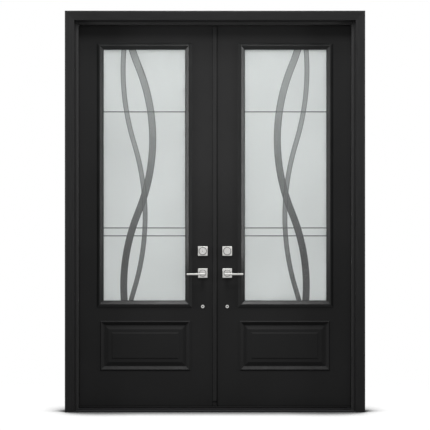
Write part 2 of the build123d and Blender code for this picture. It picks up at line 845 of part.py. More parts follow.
def astragal():
    """The hollow bar on the passive leaf's meeting edge, with strikes for the latch and the deadbolt."""
    chamber_x = inset_span(astragal_x_span, astragal_wall)
    channel_back = outer_y + astragal_wall + rod_channel
    bar = block(astragal_x_span, (outer_y, inner_y), leaf_z_span)
    bar -= block(chamber_x, (outer_y + astragal_wall, channel_back), inset_span(leaf_z_span, -overrun))
    pocket_y = (channel_back + astragal_wall, inner_y - astragal_wall)
    bar -= block(chamber_x, pocket_y, inset_span(leaf_z_span, astragal_plug))
    face_z = (leaf_z + astragal_face_foot, top_z - astragal_face_head)
    face = block(astragal_x_span, (outer_y - astragal_proud, outer_y), face_z)
    front = face.faces().sort_by(Axis.Y)[0]
    bar += chamfer(front.edges(), astragal_edge)
    guides = [
        (leaf_z, leaf_z + astragal_plug), (top_z - astragal_plug, top_z),
        around(lever_z, astragal_plug * 2),
    ]
    for low, high in guides:
        bar += rod_guide(low, high)
    wall_x = (chamber_x[1] - overrun, astragal_x_span[1] + overrun)
    for height, width, height_size in (
        (lever_z, latch_width, latch_height),
        (deadbolt_z, deadbolt_width, deadbolt_height),
    ):
        y_span = around(middle_y, width + strike_gap * 2)
        bar -= block(wall_x, y_span, around(height, height_size + strike_gap * 2))
    return bar


def astragal_seal():
    """The soft strip on the astragal that closes against the active leaf, with its boot under the foot."""
    back = inner_y - seal_back_margin
    seal_x = astragal_x_span[1] + seal_thickness
    strip = block((astragal_x_span[1], seal_x), (back - seal_width, back), leaf_z_span)
    boot_x = (astragal_x_span[0] + running_gap, seal_x)
    return strip + block(boot_x, (back - boot_depth, back), (cap_z + running_gap, leaf_z))


def shoot_bolt(upward):
    """A rod from the lock to the end of the astragal, drawn back flush."""
    if upward:
        low, high = lever_z + rod_end_gap, top_z - rod_end_gap
    else:
        low, high = leaf_z + rod_end_gap, lever_z - rod_end_gap
    return rod(rod_radius, (rod_x, rod_y, low), high - low, (0, 0, 1))


# The set of pieces, by name
def leaf_pieces(active):
    """The pieces of one leaf, made for the right-hand side."""
    lattice = came()
    pieces = {
        "outer_skin": leaf_skin(outer_y, -1),
        "inner_skin": leaf_skin(inner_y, 1),
        "edge_frame": edge_frame(active),
        "core": core(),
        "door_sweep": door_sweep(),
        "outer_lite_frame": lite_frame(outer_y, -1),
        "inner_lite_frame": lite_frame(inner_y, 1),
        "outer_pane": pane(0),
        "decor_pane": pane(1) - lattice,
        "inner_pane": pane(2),
        "came": lattice,
        "spacers": spacers(),
        "hinge_leaves": hinge_halves(False),
        "lever_roses": group([lever_rose(outer_y, -1), lever_rose(inner_y, 1)]),
        "outer_lever": lever(outer_y, -1, False),
        "inner_lever": lever(inner_y, 1, True),
        "outer_deadbolt_rose": outer_deadbolt_rose(active),
        "inner_deadbolt_rose": inner_deadbolt_rose(active),
        "bolt_caps": bolt_caps(),
        "jamb": right_jamb(),
        "casing": right_casing(),
        "jamb_hinge_leaves": hinge_halves(True),
    }
    if active:
        return {"right_" + name: piece for name, piece in pieces.items()}
    return {"left_" + name: mirrored(piece) for name, piece in pieces.items()}


def all_pieces():
    """Every piece of the door, by name."""
    pins = hinge_pins()
    return {
        **leaf_pieces(active=False),
        **leaf_pieces(active=True),
        "head_jamb": head_jamb(),
        "head_casing": head_casing(),
        "sill": sill(),
        "threshold_cap": threshold_cap(),
        "weatherstrip": weatherstrip(),
        "bolt_keepers": bolt_keepers(),
        "hinge_pins": group(pins + [mirrored(pin) for pin in pins]),
        "astragal": astragal(),
        "astragal_seal": astragal_seal(),
        "top_shoot_bolt": shoot_bolt(True),
        "bottom_shoot_bolt": shoot_bolt(False),
        "lock_faceplates": lock_faceplates(),
        "latch_bolt": latch_bolt(),
        "deadbolt": deadbolt(),
        "thumbturn": thumbturn(),
        "key_plug": key_plug(),
    }


os.makedirs("parts", exist_ok=True)
for node, piece in all_pieces().items():
    export_step(piece, f"parts/{node}.step")
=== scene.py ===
import json
import math

import bmesh
import bpy
from mathutils import Matrix, Vector


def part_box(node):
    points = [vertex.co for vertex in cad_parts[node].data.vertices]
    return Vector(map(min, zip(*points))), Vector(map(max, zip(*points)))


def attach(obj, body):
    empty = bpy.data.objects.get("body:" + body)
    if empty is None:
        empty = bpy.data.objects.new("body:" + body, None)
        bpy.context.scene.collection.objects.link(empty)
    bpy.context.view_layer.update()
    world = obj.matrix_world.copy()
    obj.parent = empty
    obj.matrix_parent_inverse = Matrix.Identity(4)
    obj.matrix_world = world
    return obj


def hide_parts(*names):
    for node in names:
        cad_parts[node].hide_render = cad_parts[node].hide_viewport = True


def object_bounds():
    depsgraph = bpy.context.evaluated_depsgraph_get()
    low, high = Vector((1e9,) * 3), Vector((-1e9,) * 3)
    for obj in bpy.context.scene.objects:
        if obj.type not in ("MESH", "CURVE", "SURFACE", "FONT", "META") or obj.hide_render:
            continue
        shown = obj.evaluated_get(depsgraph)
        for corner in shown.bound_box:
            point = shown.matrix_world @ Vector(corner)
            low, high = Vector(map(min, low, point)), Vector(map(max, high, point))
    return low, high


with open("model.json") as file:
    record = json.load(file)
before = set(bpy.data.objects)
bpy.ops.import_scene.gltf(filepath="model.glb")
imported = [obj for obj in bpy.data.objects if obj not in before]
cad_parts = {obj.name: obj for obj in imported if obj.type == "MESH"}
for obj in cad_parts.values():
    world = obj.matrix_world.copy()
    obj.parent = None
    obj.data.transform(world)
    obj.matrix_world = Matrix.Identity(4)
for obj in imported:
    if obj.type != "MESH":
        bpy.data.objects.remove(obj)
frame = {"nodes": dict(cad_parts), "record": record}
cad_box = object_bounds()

bl_info = {
    "name": "Glazed entry door pair",
    "version": (1, 0, 0),
    "blender": (4, 5, 0),
    "location": "View3D > Sidebar > Door",
    "description": "Dresses a packed pair of steel entry doors with finishes, glass, hardware and a studio",
    "category": "Object",
}

NODES = frame["nodes"]
RECORD = frame["record"]
BODY_OF = {node: body for body, members in RECORD["behaviour"]["bodies"].items() for node in members}
SIDE_SIGNS = {"left": -1, "right": 1}
MERGE_DISTANCE = 1e-5
FLAT_ANGLE = math.radians(0.3)
SMOOTH_ANGLE = math.radians(32.0)
ROUND_STEPS = 40
FACES = ("outer", "inner")
# Least angle of the edges that are rounded on the hardware
SQUARE_LEAST = 35.0
# Screw heads: steps round, top against foot, and the socket as shares of radius and height
SCREW_STEPS = 16
SCREW_TAPER = 0.86
SOCKET_INSET = 0.45
SOCKET_WALL = 0.08
SOCKET_DEPTH = 0.9
# Ribbons: edge as a share of the thickness, arcs in a chain and steps in an arc
RIBBON_EDGE = 0.18
RIBBON_ARCS = 3
RIBBON_STEPS = 28


# Properties that a user would change
def length(name, description, default):
    """A length in metres."""
    return bpy.props.FloatProperty(
        name=name, description=description, default=default, precision=5, unit="LENGTH", subtype="DISTANCE",
    )


def colour(name, description, default):
    """A linear colour."""
    return bpy.props.FloatVectorProperty(
        name=name, description=description, default=default, size=3, min=0.0, max=1.0, subtype="COLOR",
    )


def number(name, description, default):
    """A plain number."""
    return bpy.props.FloatProperty(name=name, description=description, default=default, precision=3)


class DoorSizes(bpy.types.PropertyGroup):
    """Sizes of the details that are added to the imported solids."""

    timber_edge: length("Timber arris", "Rounding of the jamb and casing edges", 0.0012)
    press_edge: length("Pressed radius", "Rounding of the pressed panel's edges", 0.0009)
    frame_edge: length("Lite frame radius", "Rounding of the moulded lite frame's edges", 0.0012)
    metal_edge: length("Metal arris", "Rounding of the hardware's edges", 0.0006)
    skin_thickness: length("Skin thickness", "Thickness of a steel skin", 0.0008)
    half_wave: length("Half wave", "Length of one swing of a ribbon", 0.930)
    broad_width: length("Broad ribbon width", "Width of the broad ribbon", 0.044)
    broad_swing: length("Broad ribbon swing", "How far the broad ribbon leaves its axis", 0.092)
    broad_offset: length("Broad ribbon offset", "Broad ribbon's axis from the middle of the lite", 0.040)
    broad_start: length("Broad ribbon start", "Height of its first node above the lite's foot", -0.330)
    slim_width: length("Slim ribbon width", "Width of the slim ribbon", 0.030)
    slim_swing: length("Slim ribbon swing", "How far the slim ribbon leaves its axis", 0.070)
    slim_offset: length("Slim ribbon offset", "Slim ribbon's axis from the middle of the lite", 0.066)
    slim_start: length("Slim ribbon start", "Height of its first node above the lite's foot", -0.820)
    line_width: length("Border came width", "Width of the came along a ribbon's edge", 0.0032)
    bar_width: length("Level came width", "Width of the level cames", 0.0060)
    ribbon_inset: length("Ribbon inset", "Ribbon's face behind the came's face", 0.0007)
    hinge_height: length("Hinge height", "Height of one hinge", 0.102)
    hinge_gap: length("Hinge gap", "Gap between leaf and jamb at a hinge", 0.003)
    hinge_plate: length("Hinge plate", "Thickness of a hinge plate", 0.003)
    knuckle_radius: length("Knuckle radius", "Outer radius of a knuckle", 0.00635)
    knuckle_bore: length("Knuckle bore", "Radius of the bore in a knuckle", 0.0040)
    knuckle_gap: length("Knuckle gap", "Gap between two knuckles", 0.0004)
    pin_radius: length("Pin radius", "Radius of a hinge pin", 0.0038)
    screw_radius: length("Screw head radius", "Radius of a countersunk screw head", 0.0042)
    screw_height: length("Screw head height", "How far a screw head stands proud", 0.0004)
    rib_pitch: length("Tread rib pitch", "Distance between two ribs of the sill", 0.0105)
    rib_width: length("Tread rib width", "Width of one rib", 0.0030)
    rib_height: length("Tread rib height", "Height of one rib", 0.0008)
    bulb_reach: length("Bulb reach", "Reach of the weatherstrip's bulb from the rabbet", 0.0170)
    bulb_width: length("Bulb width", "Width of the weatherstrip's bulb", 0.0065)
    lip_thickness: length("Lip thickness", "Thickness of the astragal's soft lip", 0.0012)
    lip_cover: length("Lip cover", "How far the lip covers the edge of the active leaf", 0.0032)
    lip_gap: length("Lip gap", "Gap between the lip and the face of the leaf", 0.0001)
    boot_depth: length("Boot depth", "Depth of the soft tip at the astragal's foot", 0.0100)
    boot_press: length("Boot press", "How far the soft tip presses on the active leaf", 0.0002)
    # The dark strip beside the astragal is painted shadow, laid where its shadow gap shows
    painted_shadow_strip_width: length("Gasket width", "How far the gasket shows beside the astragal", 0.0026)
    rose_thickness: length("Rose thickness", "Thickness of a square rose", 0.010)
    cylinder_radius: length("Cylinder radius", "Radius of a lock cylinder at the rose", 0.0225)
    plug_proud: length("Plug proud", "How far the fixed plug face stands off its recess", 0.0004)
    collar_radius: length("Collar radius", "Radius of a lever's collar at the rose", 0.0190)
    ring_width: length("Ring width", "Width of the ring round a cylinder or collar", 0.0032)
    ring_height: length("Ring height", "How far the ring stands off the rose", 0.0022)


class DoorFinish(bpy.types.PropertyGroup):
    """Colours of the door's finishes."""

    steel_paint: colour("Steel paint", "Satin black on the pressed skins", (0.0222, 0.0222, 0.0224))
    timber_paint: colour("Timber paint", "Satin black on the casing", (0.0242, 0.0242, 0.0244))
    # Painted highlight: the jambs take a lighter copy of the satin black, so that the stop's strip reads as
    # lit
    jamb_paint: colour("Jamb paint", "Satin black on the jambs and their stops", (0.0430, 0.0430, 0.0432))
    astragal_paint: colour("Astragal paint", "Satin black on the astragal", (0.0285, 0.0285, 0.0287))
    moulding: colour("Lite frame", "Moulded black lite frame", (0.0200, 0.0206, 0.0206))
    sill_metal: colour("Sill", "Dark anodised sill", (0.022, 0.022, 0.023))
    rubber: colour("Rubber", "Seals and sweeps", (0.010, 0.010, 0.010))
    nickel: colour("Satin nickel", "Levers, roses and hinges", (0.51, 0.505, 0.492))
    dark_metal: colour("Dark metal", "Screws in the caps and cames", (0.020, 0.020, 0.021))
    # Painted shade: the rings' darker metal stands in for dark reflections round a cylinder and shading
    # round a lever's collar; the bolt keepers share it
    ring_metal: colour("Ring metal", "Darker ring round a cylinder or collar", (0.075, 0.075, 0.073))
    frost: colour("Frosted glass", "Pane of obscure glass", (0.82, 0.835, 0.835))
    clear: colour("Clear glass", "Outer and inner panes", (0.97, 0.985, 0.98))
    ribbon_low: colour("Ribbon foot", "Charcoal glass at the foot of a ribbon", (0.022, 0.023, 0.024))
    ribbon_high: colour("Ribbon head", "Smoke glass at the head of a ribbon", (0.30, 0.31, 0.31))
    spacer: colour("Spacer", "Spacer bars of the sealed unit", (0.30, 0.30, 0.31))
    foam: colour("Foam", "Core between the skins", (0.80, 0.75, 0.55))


class DoorStage(bpy.types.PropertyGroup):
    """Camera, lamps and floor."""

    camera_distance: length("Camera distance", "From the wall's face to the camera", 10.0)
    camera_height: length("Camera height", "Height of the camera", 1.237)
    view_width: length("View width", "Width of the view at the wall's face", 2.705)
    top_power: number("Top power", "Power of the overhead lamp near the door in watts", 76.0)
    key_power: number("Key power", "Power of the overhead lamp in front in watts", 84.0)
    strip_power: number("Strip power", "Power of the upright lamp in front in watts", 5.0)
    wing_power: number("Wing power", "Power of each upright lamp at the sides in watts", 29.0)
    back_power: number("Back power", "Power of the overhead lamp behind in watts", 110.0)
    sky_strength: number("Sky strength", "Strength of the even light from all round", 0.03)
    floor_shade: number("Floor shade", "Whiteness of the floor", 0.12)
    floor_glow: number("Floor glow", "What the floor adds for the camera to reach white", 0.95)
    # These settings paint a contact shadow: the floor's glow is dimmed where ambient occlusion finds the
    # door close
    painted_shadow_reach: length("Contact reach", "How far the shadow at the foot of the door reaches", 0.45)
    painted_shadow_start: number("Contact start", "Openness of the floor below which it is dark", 0.68)
    painted_shadow_end: number("Contact end", "Openness of the floor above which it is white", 0.90)
    floor_reach: length("Floor reach", "How far the floor runs beyond the door", 1.6)


# Node helpers
def new_finish(name, gloss=0.5, metal=0.0, clear=0.0):
    """A fresh material with its tree and its main shader."""
    material = bpy.data.materials.new(name)
    material.use_nodes = True
    shader = material.node_tree.nodes["Principled BSDF"]
    shader.inputs["Specular IOR Level"].default_value = gloss
    shader.inputs["Metallic"].default_value = metal
    shader.inputs["Transmission Weight"].default_value = clear
    return material, material.node_tree, shader


def object_vector(tree, stretch=(1.0, 1.0, 1.0)):
    """Object coordinates, stretched."""
    coordinates = tree.nodes.new("ShaderNodeTexCoord")
    mapping = tree.nodes.new("ShaderNodeMapping")
    mapping.inputs["Scale"].default_value = stretch
    tree.links.new(coordinates.outputs["Object"], mapping.inputs["Vector"])
    return mapping.outputs["Vector"]


def noise(tree, scale, detail=2.0, stretch=(1.0, 1.0, 1.0)):
    """A soft noise between 0 and 1, on stretched object coordinates."""
    node = tree.nodes.new("ShaderNodeTexNoise")
    node.inputs["Scale"].default_value = scale
    node.inputs["Detail"].default_value = detail
    tree.links.new(object_vector(tree, stretch), node.inputs["Vector"])
    return node.outputs["Fac"]


def calculate(tree, operation, *values):
    """The result of a sum on sockets and plain numbers."""
    node = tree.nodes.new("ShaderNodeMath")
    node.operation = operation
    for slot, value in enumerate(values):
        if isinstance(value, float):
            node.inputs[slot].default_value = value
        else:
            tree.links.new(value, node.inputs[slot])
    return node.outputs["Value"]


def spread(tree, value, low, high, start=0.3, end=0.7):
    """A value mapped from one range to another."""
    node = tree.nodes.new("ShaderNodeMapRange")
    for name, setting in (("From Min", start), ("From Max", end), ("To Min", low), ("To Max", high)):
        node.inputs[name].default_value = setting
    tree.links.new(value, node.inputs["Value"])
    return node.outputs["Result"]


def blend_colours(tree, value, low, high, start=0.3, end=0.7):
    """A colour between two others."""
    node = tree.nodes.new("ShaderNodeValToRGB")
    first, last = node.color_ramp.elements
    first.position, first.color = start, (*low, 1.0)
    last.position, last.color = end, (*high, 1.0)
    tree.links.new(value, node.inputs["Fac"])
    return node.outputs["Color"]


def shade(base, share):
    """A colour made darker or lighter."""
    return tuple(min(1.0, part * share) for part in base)


def tint(shader, value, base, low, high):
    """Let a shader's colour vary between two shares of its base."""
    tree = shader.id_data
    varied = blend_colours(tree, value, shade(base, low), shade(base, high))
    tree.links.new(varied, shader.inputs["Base Color"])


def roughen(shader, value, low, high):
    """Let a shader's roughness vary."""
    tree = shader.id_data
    tree.links.new(spread(tree, value, low, high), shader.inputs["Roughness"])


def emboss(shader, height, strength, distance):
    """Raise a fine relief on a shader."""
    tree = shader.id_data
    node = tree.nodes.new("ShaderNodeBump")
    node.inputs["Strength"].default_value = strength
    node.inputs["Distance"].default_value = distance
    tree.links.new(height, node.inputs["Height"])
    tree.links.new(node.outputs["Normal"], shader.inputs["Normal"])


# Finishes
def steel_paint(base):
    """Satin black paint on pressed steel, with a fine peel."""
    material, tree, shader = new_finish("satin_steel_paint", gloss=0.07)
    tint(shader, noise(tree, scale=2.2, detail=3.0), base, low=0.9, high=1.1)
    roughen(shader, noise(tree, scale=30.0), low=0.36, high=0.46)
    emboss(shader, noise(tree, scale=700.0), strength=0.10, distance=0.0004)
    return material


def timber_paint(name, base, stretch):
    """Satin black paint on timber, with the grain showing faintly along the board."""
    material, tree, shader = new_finish(name, gloss=0.06)
    grain = noise(tree, scale=6.0, detail=4.0, stretch=stretch)
    tint(shader, grain, base, low=0.88, high=1.12)
    roughen(shader, grain, low=0.38, high=0.5)
    emboss(shader, grain, strength=0.12, distance=0.0005)
    return material


def moulded_plastic(name, base, roughness, gloss):
    """Moulded plastic with a fine even texture."""
    material, tree, shader = new_finish(name, gloss)
    cloud = noise(tree, scale=9.0, detail=3.0)
    tint(shader, cloud, base, low=0.9, high=1.1)
    roughen(shader, cloud, low=roughness - 0.05, high=roughness + 0.05)
    emboss(shader, noise(tree, scale=1100.0), strength=0.08, distance=0.0003)
    return material


def soft_rubber(base):
    """Matt black rubber."""
    material, tree, shader = new_finish("seal_rubber", gloss=0.06)
    bloom = noise(tree, scale=60.0, detail=3.0)
    tint(shader, bloom, base, low=0.8, high=1.4)
    roughen(shader, bloom, low=0.65, high=0.8)
    emboss(shader, noise(tree, scale=900.0), strength=0.15, distance=0.0003)
    return material


def brushed_metal(name, base, stretch, low, high):
    """Satin metal with a fine brushed grain, its roughness between two limits."""
    material, tree, shader = new_finish(name, metal=1.0)
    brush = noise(tree, scale=9.0, detail=3.0, stretch=stretch)
    tint(shader, brush, base, low=0.92, high=1.06)
    roughen(shader, brush, low, high)
    emboss(shader, brush, strength=0.05, distance=0.0002)
    return material


def anodised_sill(base):
    """Dark anodised aluminium with the streaks of the extrusion."""
    material, tree, shader = new_finish("dark_aluminium", gloss=0.06, metal=0.35)
    streak = noise(tree, scale=5.0, detail=3.0, stretch=(0.6, 90.0, 90.0))
    tint(shader, streak, base, low=0.85, high=1.2)
    roughen(shader, streak, low=0.34, high=0.46)
    emboss(shader, streak, strength=0.06, distance=0.0003)
    return material


def frosted_glass(base):
    """Obscure glass: pale, a little cool, with a fine hammered face."""
    material, tree, shader = new_finish("frosted_glass", clear=0.55)
    tint(shader, noise(tree, scale=1.6, detail=3.0), base, low=0.95, high=1.04)
    roughen(shader, noise(tree, scale=24.0), low=0.52, high=0.66)
    shader.inputs["IOR"].default_value = 1.45
    emboss(shader, noise(tree, scale=260.0), strength=0.12, distance=0.0006)
    return material


def clear_glass(base):
    """Clear float glass with a faint ripple."""
    material, tree, shader = new_finish("clear_glass", gloss=0.12, clear=1.0)
    ripple = noise(tree, scale=3.0)
    tint(shader, ripple, base, low=0.985, high=1.0)
    roughen(shader, ripple, low=0.0, high=0.03)
    shader.inputs["IOR"].default_value = 1.45
    return material


def ribbon_glass(name, foot_tint, head_tint, start, end):
    """Tinted strip glass, dark at the foot and smoky at the head, with a drawn texture."""
    material, tree, shader = new_finish(name, gloss=0.30)
    axes = tree.nodes.new("ShaderNodeSeparateXYZ")
    tree.links.new(object_vector(tree), axes.inputs["Vector"])
    rise = spread(tree, axes.outputs["Z"], 0.0, 1.0, *lite_heights("right"))
    drawn = noise(tree, scale=5.0, detail=3.0, stretch=(60.0, 1.0, 4.0))
    mottled = calculate(tree, "MULTIPLY_ADD", drawn, 0.30, rise)
    mixed = blend_colours(tree, mottled, foot_tint, head_tint, start, end)
    tree.links.new(mixed, shader.inputs["Base Color"])
    roughen(shader, drawn, low=0.25, high=0.45)
    emboss(shader, drawn, strength=0.15, distance=0.0006)
    return material


def core_foam(base):
    """Foam with an open cell texture."""
    material, tree, shader = new_finish("core_foam")
    cells = noise(tree, scale=220.0, detail=3.0)
    tint(shader, cells, base, low=0.8, high=1.0)
    shader.inputs["Roughness"].default_value = 0.9
    emboss(shader, cells, strength=0.4, distance=0.001)
    return material


def make_finishes():
    """Every finish, by the name that the pieces ask for."""
    settings = bpy.context.scene.door_finish
    base = {name: tuple(getattr(settings, name)) for name in DoorFinish.__annotations__}
    casing, jamb, nickel = base["timber_paint"], base["jamb_paint"], base["nickel"]
    ribbon = base["ribbon_low"], base["ribbon_high"]
    upright_grain, level_grain = (26.0, 26.0, 1.2), (1.2, 26.0, 26.0)
    upright_brush, level_brush, fine_brush = (160.0, 160.0, 8.0), (8.0, 160.0, 160.0), (90.0, 90.0, 90.0)
    return {
        "steel": steel_paint(base["steel_paint"]),
        "upright_timber": timber_paint("satin_upright_timber", casing, upright_grain),
        # Painted shade: the head casing takes a darker copy of the casing paint, to tone down the head
        # casing that the overhead lamps light more
        "painted_shade_head_timber": timber_paint("satin_level_timber", shade(casing, 0.80), level_grain),
        # The jambs' lighter copy of the satin black is a painted highlight on the stops
        "upright_painted_highlight_jamb": timber_paint("satin_upright_jamb", jamb, upright_grain),
        "level_painted_highlight_jamb": timber_paint("satin_level_jamb", jamb, level_grain),
        "astragal": timber_paint("satin_astragal", base["astragal_paint"], upright_grain),
        "moulding": moulded_plastic("lite_frame_moulding", base["moulding"], 0.22, 0.12),
        # Painted shade: the cap is a much darker copy of the casing paint, so its up-facing bevel stays dark
        # under the overhead lamps
        "cap_plastic": moulded_plastic("threshold_plastic", shade(casing, 0.3), 0.5, 0.05),
        "rubber": soft_rubber(base["rubber"]),
        "sill": anodised_sill(base["sill_metal"]),
        # Painted shade: a darker copy of the satin nickel that tones down the lamps' highlights on the
        # levers; the screws share it
        "painted_shade_level_nickel": brushed_metal("satin_nickel_level", shade(nickel, 0.84), level_brush, 0.30, 0.42),
        "nickel_upright": brushed_metal("satin_nickel_upright", nickel, upright_brush, 0.24, 0.36),
        "ring": brushed_metal("cylinder_ring", base["ring_metal"], fine_brush, 0.3, 0.42),
        "dark_metal": brushed_metal("dark_screw_metal", base["dark_metal"], fine_brush, 0.35, 0.5),
        "came": brushed_metal("came_metal", shade(base["dark_metal"], 3.0), (40.0, 40.0, 40.0), 0.35, 0.5),
        "spacer": brushed_metal("spacer_metal", base["spacer"], (60.0, 60.0, 4.0), 0.3, 0.45),
        "frost": frosted_glass(base["frost"]),
        "clear": clear_glass(base["clear"]),
        "broad_ribbon": ribbon_glass("charcoal_ribbon", *ribbon, 0.35, 1.0),
        "slim_ribbon": ribbon_glass("smoke_ribbon", *ribbon, 0.05, 0.75),
        "foam": core_foam(base["foam"]),
    }


FINISHES = {}


# Piece helpers
def middle(node, axis):
    """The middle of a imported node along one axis."""
    low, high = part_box(node)
    return (getattr(low, axis) + getattr(high, axis)) / 2


def lite_heights(side):
    """The heights of the foot and the head of a lite frame."""
    low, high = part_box(f"{side}_outer_lite_frame")
    return low.z, high.z


def leaf_face(side):
    """The flat of a leaf's outer face, a skin in front of its edge frame."""
    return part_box(f"{side}_edge_frame")[0].y - bpy.context.scene.door_sizes.skin_thickness


def dress(finish, *nodes):
    """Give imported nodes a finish."""
    for node in nodes:
        for material_slot in NODES[node].material_slots:
            material_slot.material = FINISHES[finish]


def add_object(name, data):
    """An object put in the scene."""
    made = bpy.data.objects.new(name, data)
    bpy.context.scene.collection.objects.link(made)
    return made


def make_mesh(bm, name, material):
    """A mesh of one material, made from a bmesh."""
    mesh = bpy.data.meshes.new(name)
    bm.to_mesh(mesh)
    bm.free()
    mesh.materials.append(material)
    return mesh


def add_piece(bm, name, body, finish, replaced=()):
    """A piece made from a bmesh, set to ride on a body."""
    mesh = make_mesh(bm, name, FINISHES[finish])
    mesh.shade_smooth()
    mesh.set_sharp_from_angle(angle=SMOOTH_ANGLE)
    piece = add_object(name, mesh)
    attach(piece, body)
    if replaced:
        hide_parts(*replaced)
    return piece


def round_edges(bm, edges, width, segments=2):
    """Round some edges of a mesh."""
    bmesh.ops.bevel(
        bm, geom=edges, offset=width, offset_type="OFFSET", affect="EDGES", segments=segments,
        profile=0.5, material=-1, clamp_overlap=True,
    )


def soften(node, finish, width, least=20.0, most=130.0, segments=2):
    """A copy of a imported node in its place, with the arrises between two angles rounded."""
    bm = bmesh.new()
    bm.from_mesh(NODES[node].data)
    bmesh.ops.remove_doubles(bm, verts=bm.verts, dist=MERGE_DISTANCE)
    bmesh.ops.dissolve_limit(bm, angle_limit=FLAT_ANGLE, verts=bm.verts, edges=bm.edges)
    low, high = math.radians(least), math.radians(most)
    arrises = [edge for edge in bm.edges if edge.is_manifold and low < edge.calc_face_angle() < high]
    round_edges(bm, arrises, width, segments)
    piece = add_piece(bm, f"{node}_softened", BODY_OF[node], finish, (node,))
    weighted = piece.modifiers.new("Even shading", "WEIGHTED_NORMAL")
    weighted.keep_sharp = True


def add_block(bm, low, high, edge):
    """A block between two corners, with its edges rounded."""
    low, high = Vector(low), Vector(high)
    place = Matrix.Translation((low + high) / 2) @ Matrix.Diagonal((*(high - low), 1.0))
    made = bmesh.ops.create_cube(bm, size=1.0, matrix=place)
    round_edges(bm, list({e for vert in made["verts"] for e in vert.link_edges}), edge)


def add_loop(bm, places):
    """A closed loop of vertices and edges through some places."""
    verts = [bm.verts.new(place) for place in places]
    return verts + [bm.edges.new(pair) for pair in zip(verts, verts[1:] + verts[:1])]


def add_turned(bm, outline, centre, axis):
    """A closed outline of (radius, distance along the axis) points turned about a line."""
    centre, axis = Vector(centre), Vector(axis).normalized()
    across = axis.orthogonal().normalized()
    loop = add_loop(bm, [centre + across * radius + axis * reach for radius, reach in outline])
    bmesh.ops.spin(
        bm, geom=loop, cent=centre, axis=axis, angle=math.tau, steps=ROUND_STEPS, use_merge=True,
    )
    bmesh.ops.remove_doubles(bm, verts=bm.verts, dist=MERGE_DISTANCE)
    bmesh.ops.recalc_face_normals(bm, faces=bm.faces)


def add_screw(bm, centre, normal, radius, height):
    """A countersunk screw head with a socket."""
    normal = Vector(normal)
    turn = normal.to_track_quat("Z", "Y").to_matrix().to_4x4()
    place = Matrix.Translation(Vector(centre) + normal * height / 2) @ turn
    made = bmesh.ops.create_cone(
        bm, cap_ends=True, segments=SCREW_STEPS, radius1=radius, radius2=radius * SCREW_TAPER, depth=height,
        matrix=place,
    )
    faces = {face for vert in made["verts"] for face in vert.link_faces}
    top = max(faces, key=lambda face: face.calc_center_median().dot(normal))
    bmesh.ops.inset_region(bm, faces=[top], thickness=radius * SOCKET_INSET, depth=0.0)
    bmesh.ops.inset_region(bm, faces=[top], thickness=radius * SOCKET_WALL, depth=-height * SOCKET_DEPTH)


def add_painted_shade_band(name, side, rose, height, radius):
    """A dark ring between a rose and the cylinder or collar that stands on it, its darker metal painted
    shade for the dark reflections and shading round them.
    """
    sizes = bpy.context.scene.door_sizes
    foot = sizes.rose_thickness - leaf_face(side)
    inner, outer = radius - sizes.ring_width / 2, radius + sizes.ring_width
    outline = [
        (inner, foot), (outer, foot), (outer - sizes.ring_width / 3, foot + sizes.ring_height),
        (inner, foot + sizes.ring_height),
    ]
    bm = bmesh.new()
    add_turned(bm, outline, (middle(rose, "x"), 0.0, height), (0, -1, 0))
    add_piece(bm, name, f"{side}_leaf", "ring")


def add_ribbon(bm, axis_x, start_z, swing, offset, width, y_limits, sign):
    """A strip of even width along a chain of arcs that swing to either side of an upright axis."""
    half_wave = bpy.context.scene.door_sizes.half_wave / 2
    radius = (half_wave ** 2 + swing ** 2) / (swing * 2)
    angle = math.asin(half_wave / radius) * 2
    low_y, high_y = y_limits
    edge = min(width, high_y - low_y) * RIBBON_EDGE
    outer, inner = width / 2, width / 2 - edge
    outline = [
        (-outer, low_y + edge), (-inner, low_y), (inner, low_y), (outer, low_y + edge),
        (outer, high_y - edge), (inner, high_y), (-inner, high_y), (-outer, high_y - edge),
    ]
    across = Vector((math.cos(angle / 2), 0.0, -math.sin(angle / 2)))
    start = Vector((axis_x, 0.0, start_z))
    places = []
    for reach, y in outline:
        place = start + across * (reach + offset)
        places.append((axis_x + (place.x - axis_x) * sign, y, place.z))
    loop = add_loop(bm, places)
    for count in range(RIBBON_ARCS):
        bulge = sign if count % 2 == 0 else -sign
        centre = Vector((axis_x - bulge * (radius - swing), 0.0, start_z + half_wave * (count * 2 + 1)))
        made = bmesh.ops.spin(
            bm, geom=loop, cent=centre, axis=(0.0, -bulge, 0.0), angle=angle, steps=RIBBON_STEPS,
        )
        loop = made["geom_last"]


def trim_to_field(bm, low, high):
    """Cut strips off at the limits of the glass and close their ends."""
    for place, normal in ((low, (0, 0, -1)), (high, (0, 0, 1))):
        parts = bm.verts[:] + bm.edges[:] + bm.faces[:]
        bmesh.ops.bisect_plane(bm, geom=parts, plane_co=(0, 0, place), plane_no=normal, clear_outer=True)
    bmesh.ops.holes_fill(bm, edges=[edge for edge in bm.edges if edge.is_boundary])
    bmesh.ops.recalc_face_normals(bm, faces=bm.faces)


# Operators, one for each group of pieces
class DOOR_OT_finishes(bpy.types.Operator):
    """Make the paints, metals and glass that the pieces use"""

    bl_idname = "door.finishes"
    bl_label = "Make finishes"

    def execute(self, context):
        FINISHES.update(make_finishes())
        return {"FINISHED"}


class DOOR_OT_frame(bpy.types.Operator):
    """Round and paint the jambs, the head and the casing"""

    bl_idname = "door.frame"
    bl_label = "Jambs and casing"

    def execute(self, context):
        edge = context.scene.door_sizes.timber_edge
        for side in SIDE_SIGNS:
            # The jambs' lighter paint is a painted highlight on the stops
            soften(f"{side}_jamb", "upright_painted_highlight_jamb", edge)
            soften(f"{side}_casing", "upright_timber", edge)
        soften("head_jamb", "level_painted_highlight_jamb", edge)
        # The head casing's darker copy of the casing paint is painted shade
        soften("head_casing", "painted_shade_head_timber", edge)
        return {"FINISHED"}


